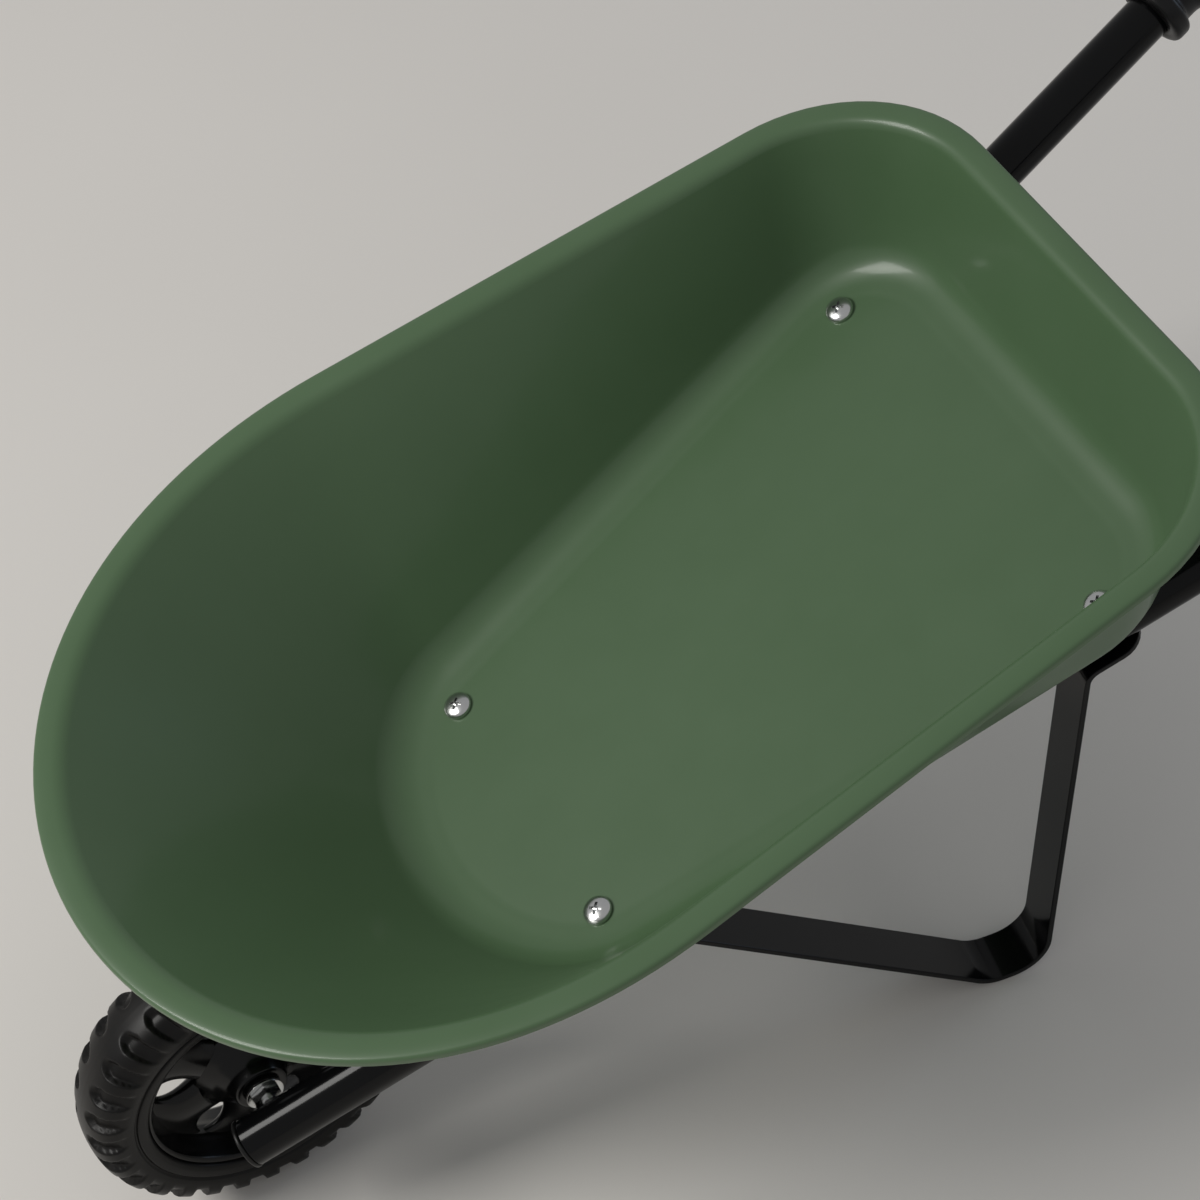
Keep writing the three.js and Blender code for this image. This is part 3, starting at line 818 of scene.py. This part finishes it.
def through(points, per):
    """A smooth line through points, with per steps between each two."""
    out = []
    for i in range(len(points) - 1):
        p0 = Vector(points[max(i - 1, 0)])
        p1 = Vector(points[i])
        p2 = Vector(points[i + 1])
        p3 = Vector(points[min(i + 2, len(points) - 1)])
        for k in range(per):
            t = k / per
            bend = 2 * p1 + (p2 - p0) * t + (2 * p0 - 5 * p1 + 4 * p2 - p3) * t * t
            out.append(tuple((bend + (3 * p1 - p0 - 3 * p2 + p3) * t ** 3) / 2))
    out.append(tuple(points[-1]))
    return out


def eased(t):
    t = max(0.0, min(1.0, t))
    return t * t * (3 - 2 * t)


def tyre():
    """A tyre with a smooth middle band and rounded pockets between lugs on both shoulders."""
    crown = wheel_r
    groove_r = BEAD_R + 6.2 * MM
    wall = [
        (crown, 0), (crown - 0.25 * MM, 4.5 * MM), (crown - 1.2 * MM, 9 * MM),
        (crown - 3.2 * MM, 13 * MM), (crown - 6 * MM, 15.6 * MM), (crown - 9.5 * MM, 16.9 * MM),
        (groove_r + 3.2 * MM, 16.8 * MM), (groove_r + 0.8 * MM, 16.3 * MM),
    ]
    bead = [
        (groove_r + 0.4 * MM, 15.2 * MM), (groove_r - 0.4 * MM, 15.2 * MM),
        (groove_r - 0.9 * MM, 16.2 * MM), (BEAD_R + 2.2 * MM, 15.9 * MM),
        (BEAD_R + 0.6 * MM, 15.2 * MM), (BEAD_R, 14.2 * MM), (BEAD_R, 0),
    ]
    half = through(wall, 5) + softened(bead, 0.5 * MM, 3)
    mirrored = [(r, -y) for r, y in reversed(half[1:])]
    turns = LUGS * 20
    bm = spun([*mirrored, *half], turns, Matrix.Identity(4))
    for vert in bm.verts:
        r = math.hypot(vert.co.x, vert.co.y)
        y = vert.co.z
        if r < groove_r + 3 * MM:
            continue
        turn = math.atan2(vert.co.y, vert.co.x) / (2 * math.pi) * LUGS
        turn += 0.5 if y < 0 else 0
        turn += SWEEP * (crown - r) / crown
        off = abs((turn % 1) - 0.5)
        beyond = (abs(y) - BAND_HALF) / (5 * MM)
        inward = eased(beyond * 2.2)
        outer = eased((r - groove_r - 3 * MM) / (9.5 * MM))
        reach = 0.26 * math.sqrt(min(1.0, max(0.0, beyond)))
        open_here = eased((reach + 0.04 - off) / 0.08)
        depth = POCKET * open_here * inward * outer
        lean = Vector((vert.co.x / r, vert.co.y / r, 0)) * 0.86
        lean.z = math.copysign(0.5 * eased((abs(y) - 8 * MM) / (7 * MM)), y)
        vert.co -= lean * depth
    bmesh.ops.transform(bm, matrix=axle_frame @ ALONG_Y, verts=bm.verts[:])
    piece("tyre", bm, RUBBER, "tyre", "wheel", "tyre")


# Wheel

def opening_edge(t):
    """A point on the edge of an opening that is long along the radius: (along, across)."""
    inner = HUB_R + 9.5 * MM
    outer = BEAD_R - 5 * MM
    bulge = 11 * MM
    side = (inner + outer) / 2 + 3 * MM
    along = (1 - t) ** 2 * inner + 2 * t * (1 - t) * side + t * t * outer
    return along, 2 * t * (1 - t) * bulge


def spoke(number):
    """One petal of the wheel, between two openings: domed on both faces, with soft edges."""
    pitch = 2 * math.pi / SPOKES
    first = number * pitch - OPENING_TURN
    rings = []
    for i in range(25):
        t = 0.5 - 0.5 * math.cos(math.pi * i / 24)
        along, across = opening_edge(t)
        r = math.hypot(along, across)
        a = math.atan2(across, along)
        thick = (6.5 - 3 * t) * MM
        ring = []
        for k in range(32):
            c = math.cos(2 * math.pi * k / 32)
            s = math.sin(2 * math.pi * k / 32)
            u = 0.5 + 0.5 * math.copysign(abs(c) ** 0.8, c)
            dome = (1 - abs(2 * u - 1) ** 2.4) * (thick - PETAL_EDGE)
            y = math.copysign(min(1.0, 3 * abs(s)) * PETAL_EDGE + dome, s)
            angle = first + a + (pitch - 2 * a) * u
            ring.append(Vector((r * math.cos(angle), r * math.sin(angle), y)))
        rings.append(ring)
    return closed(lofted(rings))


def wheel_rim():
    place = Matrix.Identity(4)
    lip = BEAD_R - GAP
    bore = BUSH_R + GAP
    hub = spun_ring(
        [
            (bore, -HUB_HALF), (HUB_R - 1.6 * MM, -HUB_HALF), (HUB_R, -12.5 * MM),
            (HUB_R + 4 * MM, -8 * MM), (HUB_R + 10.5 * MM, -3 * MM),
            (HUB_R + 10.5 * MM, 3 * MM), (HUB_R + 4 * MM, 8 * MM),
            (HUB_R, 12.5 * MM), (HUB_R - 1.6 * MM, HUB_HALF), (bore, HUB_HALF),
        ],
        96, place, 1.2 * MM,
    )
    band = spun_ring(
        [
            (lip - 5.4 * MM, -2.5 * MM), (lip - 4.2 * MM, -5.5 * MM),
            (lip - 2 * MM, -13 * MM), (lip, -14 * MM), (lip, 14 * MM), (lip - 2 * MM, 13 * MM),
            (lip - 4.2 * MM, 5.5 * MM), (lip - 5.4 * MM, 2.5 * MM),
        ],
        144, place, 1.0 * MM,
    )
    wheel = joined(hub, band, *(spoke(i) for i in range(SPOKES)))
    bmesh.ops.transform(wheel, matrix=axle_frame @ ALONG_Y, verts=wheel.verts[:])
    piece("wheel_rim", wheel, RIM_PLASTIC, "rim_plastic", "wheel", "wheel_rim")


# Axle and its fittings

def axle_span(node, side):
    """How far from the wheel's middle a fitting starts and ends."""
    return sorted(corner.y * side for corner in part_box(node))


def axle_fittings():
    place = axle_frame @ ALONG_Y
    half = tube_y0 + AXLE_BEYOND_TUBE
    rod = softened(
        [(0, -half), (AXLE_R - 0.4 * MM, -half), (AXLE_R, -half + 0.6 * MM),
         (AXLE_R, half - 0.6 * MM), (AXLE_R - 0.4 * MM, half), (0, half)],
        0.3 * MM,
    )
    piece("axle", spun(rod, 48, place), ZINC, "zinc", "barrow", "axle")
    bore = AXLE_R + 0.08 * MM
    for word, side in SIDES:
        near, far = axle_span("axle_washer_" + word, side)
        flip = place if side > 0 else place @ turned(math.pi, "X")
        ring = [(bore, near), (AXLE_WASHER_R, near), (AXLE_WASHER_R, far), (bore, far)]
        piece(
            "axle_washer_" + word, spun_ring(ring, 64, flip, 0.3 * MM),
            ZINC, "zinc", "barrow", "axle_washer_" + word,
        )
        near, far = axle_span("axle_nut_" + word, side)
        nut = hexagon_nut(AXLE_NUT_R, bore, near, far, flip, 0.5 * MM)
        made = piece("axle_nut_" + word, nut, ZINC, "zinc", "barrow", "axle_nut_" + word)
        sharp_over(made, 30)
        near, far = axle_span("wheel_bush_" + word, side)
        ring = [(bore, near), (BUSH_R, near), (BUSH_R, far), (bore, far)]
        piece(
            "wheel_bush_" + word, spun_ring(ring, 64, flip, 0.5 * MM),
            NYLON, "nylon", "wheel", "wheel_bush_" + word,
        )


# Stage

def stage():
    bm = bmesh.new()
    bmesh.ops.create_grid(bm, x_segments=2, y_segments=2, size=6)
    mesh = bpy.data.meshes.new("floor")
    bm.to_mesh(mesh)
    bm.free()
    floor = bpy.data.objects.new("floor", mesh)
    bpy.context.scene.collection.objects.link(floor)

    def paint(place):
        cloud = place.noise(3, 3)
        return {
            "Base Color": cloud.tint((0.70, 0.675, 0.64), (0.74, 0.715, 0.68)),
            "Roughness": 0.9,
            "Specular IOR Level": 0.2,
        }

    mesh.materials.append(finish("floor_paint", paint))
    floor.location.z = -0.0005


def lamp(name, at, towards, width, height, watts, colour=(1, 1, 1)):
    light = bpy.data.lights.new(name, "AREA")
    light.shape = "RECTANGLE"
    light.size = width
    light.size_y = height
    light.energy = watts
    light.color = colour
    made = bpy.data.objects.new(name, light)
    made.location = at
    made.rotation_euler = (Vector(towards) - Vector(at)).to_track_quat("-Z", "Y").to_euler()
    bpy.context.scene.collection.objects.link(made)


def lights():
    lamp("softbox", (1.75, -0.44, 1.72), (0.1, 0, 0.1), 0.95, 0.95, 30.5, (1, 0.985, 0.955))
    lamp("cool_wall", (-1.5, 0.1, 0.55), (0.2, 0, 0.2), 0.8, 0.45, 2.4, (0.6, 0.76, 1))
    world = bpy.data.worlds.new("studio")
    world.use_nodes = True
    background = world.node_tree.nodes["Background"]
    background.inputs["Color"].default_value = (0.985, 0.985, 0.99, 1)
    background.inputs["Strength"].default_value = 0.39
    bpy.context.scene.world = world
    bpy.context.scene.view_settings.view_transform = "Standard"


def camera():
    data = bpy.data.cameras.new("camera")
    data.sensor_width = 36
    data.lens = CAMERA_LENS
    made = bpy.data.objects.new("camera", data)
    made.location = CAMERA_AT
    roll = Quaternion((0, 0, 1), math.radians(CAMERA_ROLL))
    made.rotation_mode = "QUATERNION"
    made.rotation_quaternion = CAMERA_FORWARD.to_track_quat("-Z", "Y") @ roll
    bpy.context.scene.collection.objects.link(made)
    bpy.context.scene.camera = made


camera()
lights()
stage()
tray()
tubes()
for word, side in SIDES:
    leg(word, side)
for corner in CORNERS:
    screw(corner)
    nuts_and_washers(corner)
tyre()
wheel_rim()
axle_fittings()
